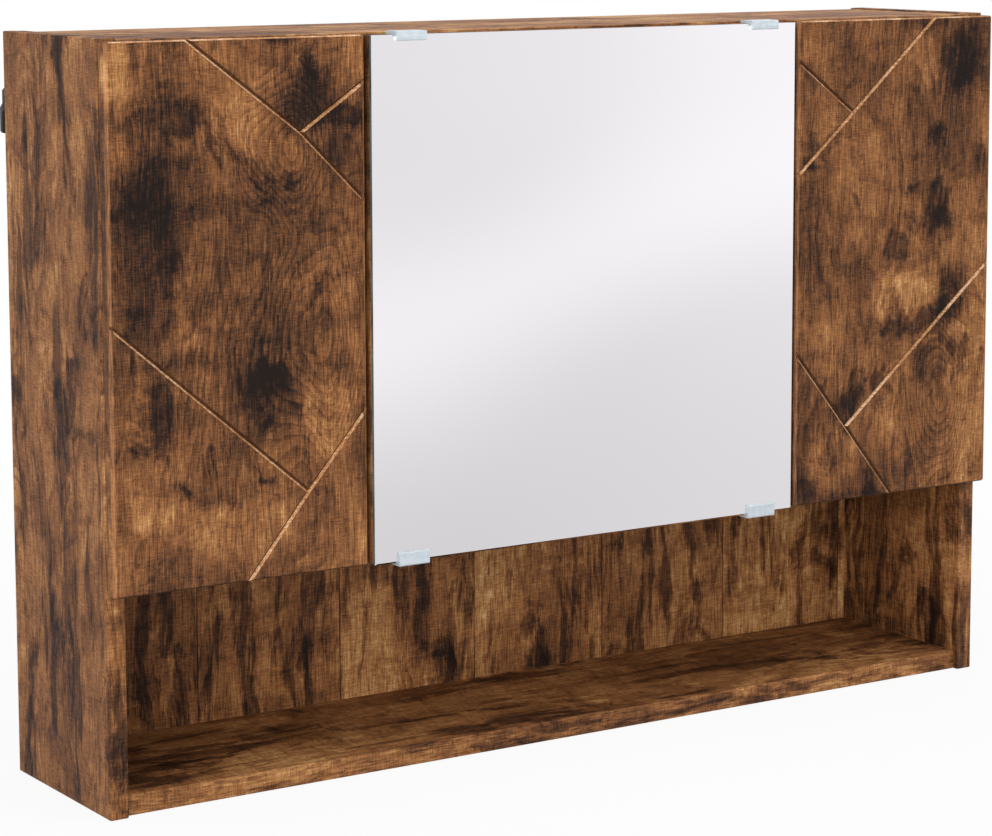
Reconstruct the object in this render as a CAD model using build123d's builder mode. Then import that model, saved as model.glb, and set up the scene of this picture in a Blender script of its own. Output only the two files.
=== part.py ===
from build123d import *
from math import atan, cos, degrees, pi
import os

# Wall-hung mirror cabinet with three overlay doors above an open shelf.
# X runs to the right seen from the front, Y runs back to the wall and Z runs up.
# The origin is on the wall, midway between the two wall screws that the hangers hook over.
# Small round pieces that repeat, and the holes they sit in, are drawn with flat sides.

# Overall sizes, in millimetres
WIDTH = 800.0
HEIGHT = 550.0
DEPTH = 154.0              # of the sides, from their front edge to their rear edge
BOARD = 15.0               # particleboard of the carcass
BACK = 3.0                 # hardboard of the back panel
DOOR = 12.0                # door board
GLASS = 4.0                # mirror glass

# How many flat sides the round pieces have
SMALL_SIDES = 6            # of screws, nails, dowels, cam bolts, pins and their holes
DISC_SIDES = 8             # of cams, hinge knuckles and bumpers
CUP_SIDES = 14             # of hinge cups

# Carcass
HANG_DROP = 62.0           # from the sides' upper ends down to the wall screws
TOP_DROP = 1.0             # the sides stand this much above the top board
FLOOR_SETBACK = 5.0        # front edge of the open shelf's floor behind the sides
SHELF_BAY = 162.0          # from the sides' lower ends up to the doors' lower edges
FINGER_LIP = 13.0          # the doors reach this far below the middle board, as a finger grip
REBATE_WIDTH = 6.0         # of the rebates in the sides that take the back panel
BACK_INSET = 0.3           # back panel's rear face ahead of the sides' rear edges
BACK_PLAY = 0.5            # round the edges of the back panel
EDGE_ROUND = 2.0           # front edges of the sides
EDGE_EASE = 0.5            # eased edges of the other boards

# Doors
DOOR_GAP = 1.0             # between the carcass and the doors' rear faces
DOOR_DROP = 2.0            # the doors' upper edges below the sides' upper ends
LEFT_DOOR = 205.0
LEFT_GAP = 3.5             # between the left door and the mirror door
MIRROR_DOOR = 384.5
RIGHT_GAP = 5.5            # wider, because the mirror door turns about its right edge
MIRROR_SAG = 0.6           # the heavy mirror door is hung this much lower
DOOR_ROUND = 3.0           # upright edges of the doors, which turn past the sides
DOOR_EASE = 1.2            # upper and lower edges of the doors
GLASS_CHAMFER = 1.3
GROOVE_WIDTH = 4.0
GROOVE_DEPTH = 2.0
GROOVE_RUNOUT = 4.0        # the cutter leaves the door by this much

# Mirror clips
CLIP_WIDTH = 25.5
CLIP_INSET = 32.0          # from the mirror's upright edge to the clip's middle
CLIP_WALL = 2.6            # of the leg that lies on the door's edge
CLIP_LIP = 2.4             # of the lip in front of the glass
CLIP_EASE = 0.8            # cut off the clips' front corners
UPPER_LIP = 4.5            # the upper clips reach this far over the glass
LOWER_LIP = 7.6            # the lower clips carry the glass and reach further
CLIP_REACH = 9.0           # of the leg along the board's thickness
CLIP_SCREW_R = 1.4
CLIP_SCREW_LENGTH = 13.0
CLIP_HEAD_R = 2.8

# Adjustable shelves and their pins
SHELF_DEPTH = 128.0
SHELF_PLAY = 1.0           # between a shelf's end and the upright beside it
SHELF_RISE = 1.5           # of the shelves above the middle of the compartments' height
SHELF_REAR_GAP = 2.0
PIN_R = 2.5
PIN_DEPTH = 6.0
PIN_TONGUE = 7.8           # of the pin that stands out under the shelf
PIN_FLAT = 1.8             # height of the tongue's flat top above the pin's axis
PIN_SETBACK = 30.0         # of the pin rows from the shelf's front and rear edges
PIN_PITCH = 32.0
PIN_ROWS = 3

# Single-pivot door hinges, seen along the pivot: across is measured from the door's
# hinge edge into the door, and out is measured from the carcass front.
HINGE_END = 70.0           # of the hinges from the doors' upper and lower edges
PIVOT_ACROSS = 5.0
PIVOT_DEPTH = 6.0          # of the pivot in a plain door
MIRROR_PIVOT_DEPTH = 7.0   # deeper, because the glass thickens the mirror door
PIVOT_PIN_R = 1.0
PIVOT_PLAY = 0.05
KNUCKLE_R = 2.2
KNUCKLE_PLAY = 0.4
CUP_R = 13.0
CUP_ACROSS = 17.5
CUP_FLOOR = 0.8
CUP_FLANGE = 1.0
FLANGE_WIDTH = 19.0
FLANGE_LENGTH = 46.0
FLANGE_CORNER = 5.0
NOSE_EDGE = 2.4            # of the cup's nose from the door's edge
NOSE_WIDTH = 12.4
POCKET_PLAY = 0.1
ARM_WIDTH = 8.0
ARM_THICK = 2.4
ARM_SIDE_PLAY = 0.3
ARM_BEND = 17.5            # the arm leaves the door at least this far from the hinge edge
ARM_CLEARANCE = 1.3        # between the arm and the upright that it passes
ARM_CORNER = 3.0           # cut across the arm's bend
ARM_STEP = (10.0, 20.0)    # the arm steps over to its plate between these depths
ARM_LENGTH = 58.0
CHANNEL_WALL = 1.2
CHANNEL_HEIGHT = 5.0
PLATE_THICK = 3.0
PLATE_WING = 1.8
PLATE_SPAN = (23.0, 60.0)  # depths of the mounting plate's two ends
PLATE_WIDTH = 11.0
PLATE_CORNER = 1.5
WING_LENGTH = 46.0
WING_WIDTH = 13.0
WING_CORNER = 3.5
PLATE_SCREW_DEPTH = 37.0
PLATE_SCREW_SPREAD = 32.0
ARM_SCREW_DEPTH = 50.0
CUP_SCREW_SPREAD = 35.0
HINGE_SCREW_R = 1.6
HINGE_SCREW_LENGTH = 12.0
CUP_SCREW_LENGTH = 9.0
SCREW_HEAD_R = 3.0
SCREW_HEAD = 1.4

# Bumpers
BUMPER_R = 4.0
BUMPER_THICK = 0.9
BUMPER_INSET = 18.0

# Knock-down fittings
CAM_R = 7.4
CAM_BORE_R = 7.5
CAM_PAST = 4.5             # the cams reach this far past the middle of the board's thickness
CAM_ACROSS = 24.0          # of the cams from the boards' ends
CAM_SETBACK = 32.0         # of the cams from the carcass front and from the back panel
BOLT_BORE_R = 4.0
BOLT_R = 3.0
BOLT_NECK_R = 2.0
BOLT_HEAD_R = 3.2
BOLT_HEAD = 2.6
BOLT_NECK = 4.0
BOLT_SCREW = 10.0          # screwed into the side
CAM_SLOT = 7.6
CAM_DRIVE = 1.4            # width of the screwdriver slot in a cam's face
CAM_DRIVE_LENGTH = 9.6
CAM_DRIVE_DEPTH = 1.6
DOWEL_R = 4.0
DOWEL_LENGTH = 28.0
DOWEL_IN_FACE = 9.0        # of the dowels in the face of the board that they meet
PARTITION_SCREW_R = 2.5
PARTITION_SCREW_LENGTH = 50.0
PARTITION_HEAD_R = 4.6
PARTITION_HEAD = 2.4

# Back panel nails
NAIL_R = 0.8
NAIL_HEAD_R = 1.8
NAIL_HEAD = 0.6
NAIL_LENGTH = 18.0
NAILS_ALONG = 4
NAIL_END = 15.0            # of a row's last nails from the sides

# Wall hangers
HANGER_WIDTH = 14.0
HANGER_STAND = 9.0         # of the wall behind the sides' rear edges
HANGER_TAB = 4.3           # thickness of the tab that is screwed on
HANGER_HOOK = 4.0          # thickness of the hook
HANGER_TOP = 20.5          # of the hanger's upper end above the wall screws
TAB_HEIGHT = 11.0
JOGGLE = 3.5
HOOK_HEIGHT = 18.5
HANGER_CORNER = 1.5        # cut off the corners of the tab and the hook
SLOT_R = 2.8
HANGER_SCREW_R = 2.0
HANGER_SCREW_SIDE = 5.5    # of the screw from the side's outer face, clear of the back panel
HANGER_SCREW_LENGTH = 30.0
HANGER_HEAD_R = 4.0
HANGER_HEAD = 2.2

# Levels and planes worked out from the sizes
REAR = -HANGER_STAND
FRONT = REAR - DEPTH
DOOR_REAR = FRONT - DOOR_GAP
DOOR_FRONT = DOOR_REAR - DOOR
GLASS_FRONT = DOOR_FRONT - GLASS
BACK_REAR = REAR - BACK_INSET
BACK_FRONT = BACK_REAR - BACK
UPPER_END = HANG_DROP
LOWER_END = HANG_DROP - HEIGHT
TOP_UPPER = UPPER_END - TOP_DROP
TOP_LOWER = TOP_UPPER - BOARD
FLOOR_UPPER = LOWER_END + BOARD
DOOR_LOWER = LOWER_END + SHELF_BAY
DOOR_UPPER = UPPER_END - DOOR_DROP
MIDDLE_LOWER = DOOR_LOWER + FINGER_LIP
MIDDLE_UPPER = MIDDLE_LOWER + BOARD
SIDE_OUTER = WIDTH / 2
SIDE_INNER = SIDE_OUTER - BOARD
LEFT_DOOR_FREE = -SIDE_OUTER + LEFT_DOOR
MIRROR_LEFT = LEFT_DOOR_FREE + LEFT_GAP
MIRROR_RIGHT = MIRROR_LEFT + MIRROR_DOOR
RIGHT_DOOR_FREE = MIRROR_RIGHT + RIGHT_GAP
LEFT_PARTITION = (LEFT_DOOR_FREE + MIRROR_LEFT) / 2
RIGHT_PARTITION = (MIRROR_RIGHT + RIGHT_DOOR_FREE) / 2
SHELF_LOWER = (MIDDLE_UPPER + TOP_LOWER - BOARD) / 2 + SHELF_RISE
SHELF_FRONT = BACK_FRONT - SHELF_REAR_GAP - SHELF_DEPTH
MIRROR_LOWER = DOOR_LOWER - MIRROR_SAG
MIRROR_UPPER = DOOR_UPPER - MIRROR_SAG

os.makedirs("parts", exist_ok=True)


def save(piece, name):
    """Label a finished piece and write it."""
    piece.part.label = name
    export_step(piece.part, f"parts/{name}.step")


def place(seed, places):
    """Repeat one solid at each of the places, as separate solids of one group."""
    with BuildPart() as group:
        with Locations(*places):
            add(seed.part)
    return group


def stacked(*bands):
    """Stack flat-sided bands along the Z axis, each as (start, length, radius, taper)."""
    with BuildPart() as stack:
        for start, length, radius, taper in bands:
            with BuildSketch(Plane.XY.offset(start)):
                RegularPolygon(radius, SMALL_SIDES)
            extrude(amount=length, taper=taper)
    return stack


def cut_corners(across, along, corner):
    """Outline of a rectangle with its corners cut off."""
    with BuildSketch(Plane.XY, mode=Mode.PRIVATE) as outline:
        Rectangle(across, along)
        chamfer(outline.vertices(), length=corner)
    return outline.sketch


def facing(x, y, z, direction, roll=(0, 0, 1)):
    """A place whose Z axis points along direction and whose X axis points along roll."""
    return Location(Plane(origin=(x, y, z), x_dir=roll, z_dir=direction))


# Screws, dowels and nails: each seed stands on its Z axis with the underside or the
# top of its head at the height zero, and its point down.
def countersunk_screw(shank_r, head_r, head, length):
    """A countersunk screw whose head is flush with the height zero."""
    taper = degrees(atan((head_r - shank_r) * cos(pi / SMALL_SIDES) / head))
    return stacked((0, -head, head_r, taper), (-head, head - length, shank_r, 0))


cup_screw = countersunk_screw(HINGE_SCREW_R, SCREW_HEAD_R, SCREW_HEAD, CUP_SCREW_LENGTH)
plate_screw = countersunk_screw(HINGE_SCREW_R, SCREW_HEAD_R, SCREW_HEAD, HINGE_SCREW_LENGTH)
partition_screw = countersunk_screw(
    PARTITION_SCREW_R, PARTITION_HEAD_R, PARTITION_HEAD, PARTITION_SCREW_LENGTH)
hanger_screw = countersunk_screw(HANGER_SCREW_R, HANGER_HEAD_R, HANGER_HEAD, HANGER_SCREW_LENGTH)
clip_screw = countersunk_screw(CLIP_SCREW_R, CLIP_HEAD_R, CLIP_HEAD_R - CLIP_SCREW_R, CLIP_SCREW_LENGTH)
nail = stacked((0, NAIL_HEAD, NAIL_HEAD_R, 0), (0, -NAIL_LENGTH, NAIL_R, 0))

# The height zero of a dowel is at the joint face.
dowel = stacked((-DOWEL_IN_FACE, DOWEL_LENGTH, DOWEL_R, 0))

# Cam bolt: it is screwed down into the side, its shank stands up into the board's end
# and its head is held by the cam.
bolt_end = CAM_ACROSS + BOLT_HEAD / 2
neck_start = bolt_end - BOLT_HEAD - BOLT_NECK
cam_bolt = stacked(
    (-BOLT_SCREW, BOLT_SCREW + neck_start, BOLT_R, 0),
    (neck_start, BOLT_NECK, BOLT_NECK_R, 0),
    (neck_start + BOLT_NECK, BOLT_HEAD, BOLT_HEAD_R, 0))

# Cam: a drum with an open side for the bolt's head and a screwdriver slot in its face.
# Its height zero is at the face of the board, the drum hangs below, and +X faces the bolt.
CAM_DEPTH = BOARD / 2 + CAM_PAST
with BuildPart() as cam:
    with BuildSketch():
        RegularPolygon(CAM_R, DISC_SIDES)
    extrude(amount=-CAM_DEPTH)
    with BuildSketch(Plane.XY.offset(-CAM_DEPTH)):
        with Locations((CAM_R / 2, 0)):
            Rectangle(CAM_R + CAM_SLOT, CAM_SLOT)
    extrude(amount=CAM_DEPTH - BOARD / 2 + CAM_SLOT / 2, mode=Mode.SUBTRACT)
    with BuildSketch():
        Rectangle(CAM_DRIVE_LENGTH, CAM_DRIVE)
    extrude(amount=-CAM_DRIVE_DEPTH, mode=Mode.SUBTRACT)


# Places of the knock-down fittings. A joint is where a board's end meets a side.
CAM_ROWS = (FRONT + CAM_SETBACK, BACK_FRONT - CAM_SETBACK)
DOWEL_ROW = (CAM_ROWS[0] + CAM_ROWS[1]) / 2
TOP_MID = (TOP_UPPER + TOP_LOWER) / 2
MIDDLE_MID = (MIDDLE_UPPER + MIDDLE_LOWER) / 2
FLOOR_MID = (FLOOR_UPPER + LOWER_END) / 2


def cam_places(side, face, up):
    """Cams of one board beside one side (-1 left, 1 right), sunk into its face."""
    return [
        facing(side * (SIDE_INNER - CAM_ACROSS), row, face, (0, 0, up), (side, 0, 0))
        for row in CAM_ROWS
    ]


def bolt_places(side, level):
    """Cam bolts that stand on the inner face of one side at one level."""
    return [facing(side * SIDE_INNER, row, level, (-side, 0, 0)) for row in CAM_ROWS]


def dowel_place(side, level):
    """Dowel between the cam bolts of one joint."""
    return facing(side * SIDE_INNER, DOWEL_ROW, level, (-side, 0, 0))


# Bores for the fittings in the boards' ends and in the sides
with BuildPart() as cam_bore:
    with BuildSketch():
        RegularPolygon(CAM_BORE_R, DISC_SIDES)
    extrude(amount=-(CAM_DEPTH + POCKET_PLAY))
bolt_bore = stacked((0, CAM_ACROSS, BOLT_BORE_R, 0))
bolt_pilot = stacked((0, -BOLT_SCREW, BOLT_R, 0))


# Shelf pins. The seed's Z axis points from the upright into the compartment, and its
# X axis points up.
with BuildPart() as shelf_pin:
    add(stacked((-PIN_DEPTH, PIN_DEPTH + PIN_TONGUE, PIN_R, 0)).part)
    with BuildSketch():
        with Locations((PIN_FLAT + PIN_R, 0)):
            Rectangle(2 * PIN_R, 2 * PIN_R)
    extrude(amount=PIN_TONGUE, mode=Mode.SUBTRACT)
pin_hole = stacked((0, -PIN_DEPTH, PIN_R, 0))

PIN_LEVEL = SHELF_LOWER - PIN_FLAT
PIN_LINES = (SHELF_FRONT + PIN_SETBACK, SHELF_FRONT + SHELF_DEPTH - PIN_SETBACK)


def pin_places(x, direction, rows=1):
    """Shelf pins or their holes on an upright's face, in rows round the shelf's level."""
    levels = [PIN_LEVEL + PIN_PITCH * (row - (rows - 1) / 2) for row in range(rows)]
    return [facing(x, line, level, (direction, 0, 0)) for line in PIN_LINES for level in levels]


# Hinge parts. The seeds lie in the hinge's own frame: X is across, Y is out and Z is along
# the pivot, with Z = 0 at the hinge's middle.
def out_plane(out):
    """Plane square to the out direction, at a distance from the carcass front."""
    return Plane(origin=(0, out, 0), x_dir=(1, 0, 0), z_dir=(0, 1, 0))


def across_plane(across):
    """Plane square to the across direction, facing into the compartment."""
    return Plane(origin=(across, 0, 0), x_dir=(0, 1, 0), z_dir=(1, 0, 0))


def make_pocket(pivot_out, play):
    """Outer form of a hinge cup, let into the door's rear face, larger by the play."""
    depth = pivot_out + KNUCKLE_R + KNUCKLE_PLAY + play - DOOR_GAP
    nose = CUP_ACROSS - NOSE_EDGE + play
    with BuildPart() as pocket:
        with BuildSketch(out_plane(DOOR_GAP)):
            with Locations((CUP_ACROSS, 0)):
                RegularPolygon(CUP_R + play, CUP_SIDES)
            with Locations((CUP_ACROSS - nose / 2, 0)):
                Rectangle(nose, NOSE_WIDTH + 2 * play)
        extrude(amount=depth)
        with BuildSketch(out_plane(DOOR_GAP)):
            with Locations((CUP_ACROSS, 0)):
                add(cut_corners(FLANGE_WIDTH + 2 * play, FLANGE_LENGTH + 2 * play, FLANGE_CORNER))
        extrude(amount=CUP_FLANGE + play)
    return pocket


def make_cup(pivot_out):
    """Hinge cup: drum, nose with two lugs for the pin, and a flange with screw holes."""
    floor = pivot_out + KNUCKLE_R + KNUCKLE_PLAY - CUP_FLOOR
    slot = ARM_WIDTH + 2 * ARM_SIDE_PLAY
    slot_end = CUP_ACROSS + CUP_R - 2 * CUP_FLOOR
    with BuildPart() as cup:
        add(make_pocket(pivot_out, 0).part)
        # open channel that the arm folds into
        with BuildSketch(out_plane(DOOR_GAP)):
            with Locations(((NOSE_EDGE + slot_end) / 2, 0)):
                Rectangle(slot_end - NOSE_EDGE, slot)
        extrude(amount=floor - DOOR_GAP, mode=Mode.SUBTRACT)
        # room for the knuckle to turn
        with BuildSketch(Plane.XY.offset(-slot / 2)):
            with Locations((PIVOT_ACROSS, pivot_out)):
                RegularPolygon(KNUCKLE_R + KNUCKLE_PLAY, DISC_SIDES, major_radius=False)
        extrude(amount=slot, mode=Mode.SUBTRACT)
        # pin holes through both lugs
        add(make_pin(pivot_out).part, mode=Mode.SUBTRACT)
        # countersinks in the flange
        for end in (-1, 1):
            with Locations(cup_screw_place(end)):
                add(cup_screw.part, mode=Mode.SUBTRACT)
    return cup


def cup_screw_place(end):
    """A cup screw at the upper (1) or lower (-1) end of the flange, driven out of the carcass."""
    return facing(CUP_ACROSS, DOOR_GAP, end * CUP_SCREW_SPREAD / 2, (0, -1, 0))


def make_arm(pivot_out, overlay):
    """Cranked hinge arm: knuckle, leg in the cup, bend, step and a channel on the plate."""
    rest = overlay + PLATE_THICK + ARM_THICK / 2
    bend = max(ARM_BEND, overlay + ARM_CLEARANCE + ARM_THICK / 2)
    with BuildPart() as arm:
        with BuildSketch(Plane.XY.offset(-ARM_WIDTH / 2)):
            with BuildLine() as spine:
                Polyline(
                    (PIVOT_ACROSS, pivot_out), (bend - ARM_CORNER, pivot_out),
                    (bend, pivot_out - ARM_CORNER), (bend, -ARM_STEP[0]),
                    (rest, -ARM_STEP[1]), (rest, -ARM_LENGTH))
            trace(spine.line, line_width=ARM_THICK)
            with Locations((PIVOT_ACROSS, pivot_out)):
                RegularPolygon(KNUCKLE_R, DISC_SIDES)
        extrude(amount=ARM_WIDTH)
        # running bore for the pin
        with BuildSketch(Plane.XY.offset(-ARM_WIDTH / 2)):
            with Locations((PIVOT_ACROSS, pivot_out)):
                RegularPolygon(PIVOT_PIN_R + PIVOT_PLAY, SMALL_SIDES, major_radius=False)
        extrude(amount=ARM_WIDTH, mode=Mode.SUBTRACT)
        # channel walls along the seated end
        channel = ARM_LENGTH - ARM_STEP[1] - ARM_CORNER
        for side in (-1, 1):
            edge = side * (ARM_WIDTH / 2 + CHANNEL_WALL / 2)
            with BuildSketch(Plane.XY.offset(edge - CHANNEL_WALL / 2)):
                with Locations((rest - ARM_THICK / 2 + CHANNEL_HEIGHT / 2, channel / 2 - ARM_LENGTH)):
                    Rectangle(CHANNEL_HEIGHT, channel)
            extrude(amount=CHANNEL_WALL)
        # slot for the fixing screw, open at the arm's end
        slot_start = ARM_SCREW_DEPTH - HINGE_SCREW_R - ARM_SIDE_PLAY
        with BuildSketch(across_plane(rest - ARM_THICK / 2)):
            with Locations((-(slot_start + ARM_LENGTH) / 2, 0)):
                Rectangle(ARM_LENGTH - slot_start, 2 * (HINGE_SCREW_R + ARM_SIDE_PLAY))
        extrude(amount=ARM_THICK, mode=Mode.SUBTRACT)
    return arm


def make_plate(overlay):
    """Mounting plate: a raised spine under the arm and two wings with screw holes."""
    span = PLATE_SPAN[1] - PLATE_SPAN[0]
    middle = -(PLATE_SPAN[0] + PLATE_SPAN[1]) / 2
    with BuildPart() as plate:
        with BuildSketch(across_plane(overlay)):
            with Locations((middle, 0)):
                add(cut_corners(span, PLATE_WIDTH, PLATE_CORNER))
        extrude(amount=PLATE_THICK)
        with BuildSketch(across_plane(overlay)):
            with Locations((-PLATE_SCREW_DEPTH, 0)):
                add(cut_corners(WING_WIDTH, WING_LENGTH, WING_CORNER))
        extrude(amount=PLATE_WING)
        for end in (-1, 1):
            with Locations(plate_screw_place(overlay, end)):
                add(plate_screw.part, mode=Mode.SUBTRACT)
        with Locations(arm_screw_place(overlay)):
            add(arm_screw.part, mode=Mode.SUBTRACT)
    return plate


def plate_screw_place(overlay, end):
    """A plate screw at the upper (1) or lower (-1) wing."""
    return facing(
        overlay + PLATE_WING, -PLATE_SCREW_DEPTH, end * PLATE_SCREW_SPREAD / 2, (1, 0, 0))


def arm_screw_place(overlay):
    """The screw that clamps the arm to its plate, seated on the arm."""
    return facing(overlay + PLATE_THICK + ARM_THICK, -ARM_SCREW_DEPTH, 0, (1, 0, 0))


# The arm's screw has a flat head that stands on the arm, and it ends inside the plate.
arm_screw = stacked(
    (0, SCREW_HEAD, SCREW_HEAD_R, 0), (0, -(ARM_THICK + PLATE_THICK), HINGE_SCREW_R, 0))


def make_pin(pivot_out):
    """Pivot pin, held by the cup's lugs."""
    with BuildPart() as pin:
        with BuildSketch(Plane.XY.offset(-NOSE_WIDTH / 2)):
            with Locations((PIVOT_ACROSS, pivot_out)):
                RegularPolygon(PIVOT_PIN_R, SMALL_SIDES)
        extrude(amount=NOSE_WIDTH)
    return pin


def hinge_places(edge, inward, lower, upper):
    """Frames of a door's two hinges: edge is the door's hinge edge and inward is 1 when
    the door reaches to the right of it and -1 when it reaches to the left."""
    return [
        Location(Plane(origin=(edge, FRONT, level), x_dir=(inward, 0, 0), z_dir=(0, 0, -inward)))
        for level in (lower + HINGE_END, upper - HINGE_END)
    ]


LEFT_HINGES = hinge_places(-SIDE_OUTER, 1, DOOR_LOWER, DOOR_UPPER)
MIRROR_HINGES = hinge_places(MIRROR_RIGHT, -1, MIRROR_LOWER, MIRROR_UPPER)
RIGHT_HINGES = hinge_places(SIDE_OUTER, -1, DOOR_LOWER, DOOR_UPPER)
PLAIN_PIVOT = DOOR_GAP + PIVOT_DEPTH
MIRROR_PIVOT = DOOR_GAP + MIRROR_PIVOT_DEPTH
MIRROR_OVERLAY = MIRROR_RIGHT - (RIGHT_PARTITION - BOARD / 2)


def plate_pilots(overlay):
    """Pilot holes of one hinge's plate screws, in the hinge's own frame."""
    with BuildPart() as pilots:
        for end in (-1, 1):
            with Locations(plate_screw_place(overlay, end)):
                add(plate_screw.part)
    return pilots


# The sides: a plan profile with rounded front edges and a rebate for the back panel.
def make_side(side, hinges):
    """One side, -1 left or 1 right, with the bores for everything that it carries."""
    inner = side * SIDE_INNER
    outer = side * SIDE_OUTER
    rebate = side * (SIDE_INNER + REBATE_WIDTH)
    with BuildPart() as panel:
        with BuildSketch(Plane.XY.offset(LOWER_END)) as plan:
            with BuildLine():
                Polyline(
                    (outer, FRONT), (inner, FRONT), (inner, BACK_FRONT), (rebate, BACK_FRONT),
                    (rebate, REAR), (outer, REAR), close=True)
            make_face()
            fillet(plan.vertices().group_by(Axis.Y)[0], radius=EDGE_ROUND)
        extrude(amount=HEIGHT)
        chamfer(panel.faces().sort_by(Axis.Z)[-1].edges(), length=EDGE_EASE)
        chamfer(panel.faces().sort_by(Axis.Z)[0].edges(), length=EDGE_EASE)
        for level in (TOP_MID, MIDDLE_MID, FLOOR_MID):
            with Locations(*bolt_places(side, level)):
                add(bolt_pilot.part, mode=Mode.SUBTRACT)
            with Locations(dowel_place(side, level)):
                add(dowel.part, mode=Mode.SUBTRACT)
        with Locations(*pin_places(inner, -side, PIN_ROWS)):
            add(pin_hole.part, mode=Mode.SUBTRACT)
        with Locations(*hinges):
            add(plate_pilots(BOARD).part, mode=Mode.SUBTRACT)
        with Locations(hanger_screw_place(side)):
            add(hanger_screw.part, mode=Mode.SUBTRACT)
    return panel


def hanger_screw_place(side):
    """The screw through a hanger's tab into the side's rear edge."""
    x = side * (SIDE_OUTER - HANGER_SCREW_SIDE)
    return facing(x, REAR + HANGER_TAB, HANGER_TOP - TAB_HEIGHT / 2, (0, 1, 0))


left_side = make_side(-1, LEFT_HINGES)
save(left_side, "left_side")
right_side = make_side(1, RIGHT_HINGES)
save(right_side, "right_side")


# Nails through the back panel, in a row along each board between the sides
NAIL_PITCH = 2 * (SIDE_INNER - NAIL_END) / (NAILS_ALONG - 1)
nail_places = [
    facing(NAIL_PITCH * (n - (NAILS_ALONG - 1) / 2), BACK_REAR, level, (0, 1, 0))
    for level in (TOP_MID, MIDDLE_MID, FLOOR_MID) for n in range(NAILS_ALONG)
]


# The boards between the sides
def make_cross_board(lower, front, cam_face, cam_up):
    """A board between the sides, with its eased front edge and its fittings' bores."""
    level = lower + BOARD / 2
    with BuildPart() as board:
        with BuildSketch(Plane.XY.offset(lower)):
            with Locations((0, (front + BACK_FRONT) / 2)):
                Rectangle(2 * SIDE_INNER, BACK_FRONT - front)
        extrude(amount=BOARD)
        chamfer(board.faces().sort_by(Axis.Y)[0].edges().filter_by(Axis.X), length=EDGE_EASE)
        for side in (-1, 1):
            with Locations(*cam_places(side, cam_face, cam_up)):
                add(cam_bore.part, mode=Mode.SUBTRACT)
            with Locations(*bolt_places(side, level)):
                add(bolt_bore.part, mode=Mode.SUBTRACT)
            with Locations(dowel_place(side, level)):
                add(dowel.part, mode=Mode.SUBTRACT)
        with Locations(*nail_places):
            add(nail.part, mode=Mode.SUBTRACT)
    return board


def partition_dowel_places():
    """Two dowels between the top board and each partition, pointing down."""
    return [
        facing(x, row, TOP_LOWER, (0, 0, -1), (1, 0, 0))
        for x in (LEFT_PARTITION, RIGHT_PARTITION) for row in CAM_ROWS
    ]


def partition_screw_places():
    """Two screws up through the middle board into each partition."""
    return [
        facing(x, row, MIDDLE_LOWER, (0, 0, -1), (1, 0, 0))
        for x in (LEFT_PARTITION, RIGHT_PARTITION) for row in CAM_ROWS
    ]


bottom_panel = make_cross_board(LOWER_END, FRONT + FLOOR_SETBACK, LOWER_END, -1)
save(bottom_panel, "bottom_panel")

with BuildPart() as top_panel:
    add(make_cross_board(TOP_LOWER, FRONT, TOP_LOWER, -1).part)
    with Locations(*partition_dowel_places()):
        add(dowel.part, mode=Mode.SUBTRACT)
save(top_panel, "top_panel")

with BuildPart() as middle_panel:
    add(make_cross_board(MIDDLE_LOWER, FRONT, MIDDLE_UPPER, 1).part)
    with Locations(*partition_screw_places()):
        add(partition_screw.part, mode=Mode.SUBTRACT)
save(middle_panel, "middle_panel")


# The partitions stand on the middle board, behind the gaps between the doors.
def make_partition(x):
    """One partition with pin holes in both faces."""
    with BuildPart() as board:
        with BuildSketch(Plane.XY.offset(MIDDLE_UPPER)):
            with Locations((x, (FRONT + BACK_FRONT) / 2)):
                Rectangle(BOARD, BACK_FRONT - FRONT)
        extrude(amount=TOP_LOWER - MIDDLE_UPPER)
        chamfer(board.faces().sort_by(Axis.Y)[0].edges().filter_by(Axis.Z), length=EDGE_EASE)
        with Locations(*partition_dowel_places()):
            add(dowel.part, mode=Mode.SUBTRACT)
        with Locations(*partition_screw_places()):
            add(partition_screw.part, mode=Mode.SUBTRACT)
        for face in (-1, 1):
            with Locations(*pin_places(x + face * BOARD / 2, face, PIN_ROWS)):
                add(pin_hole.part, mode=Mode.SUBTRACT)
    return board


left_partition = make_partition(LEFT_PARTITION)
save(left_partition, "left_partition")

with BuildPart() as right_partition:
    add(make_partition(RIGHT_PARTITION).part)
    with Locations(*MIRROR_HINGES):
        add(plate_pilots(MIRROR_OVERLAY).part, mode=Mode.SUBTRACT)
save(right_partition, "right_partition")

# The back panel lies in the sides' rebates and over the rear edges of the boards.
BACK_LOWER = LOWER_END + BACK_PLAY
BACK_UPPER = TOP_UPPER - BACK_PLAY
BACK_SIDE = SIDE_INNER + REBATE_WIDTH - BACK_PLAY
with BuildPart() as back_panel:
    with BuildSketch(Plane.XY.offset(BACK_LOWER)):
        with Locations((0, (BACK_FRONT + BACK_REAR) / 2)):
            Rectangle(2 * BACK_SIDE, BACK)
    extrude(amount=BACK_UPPER - BACK_LOWER)
    with Locations(*nail_places):
        add(nail.part, mode=Mode.SUBTRACT)
save(back_panel, "back_panel")
back_nails = place(nail, nail_places)
save(back_nails, "back_nails")


# Adjustable shelves, each on four pins
def make_shelf(left, right):
    """A shelf between two uprights' faces."""
    with BuildPart() as shelf:
        with BuildSketch(Plane.XY.offset(SHELF_LOWER)):
            with Locations(((left + right) / 2, SHELF_FRONT + SHELF_DEPTH / 2)):
                Rectangle(right - left - 2 * SHELF_PLAY, SHELF_DEPTH)
        extrude(amount=BOARD)
        chamfer(shelf.edges().filter_by(Axis.X), length=EDGE_EASE)
    return shelf


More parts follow.
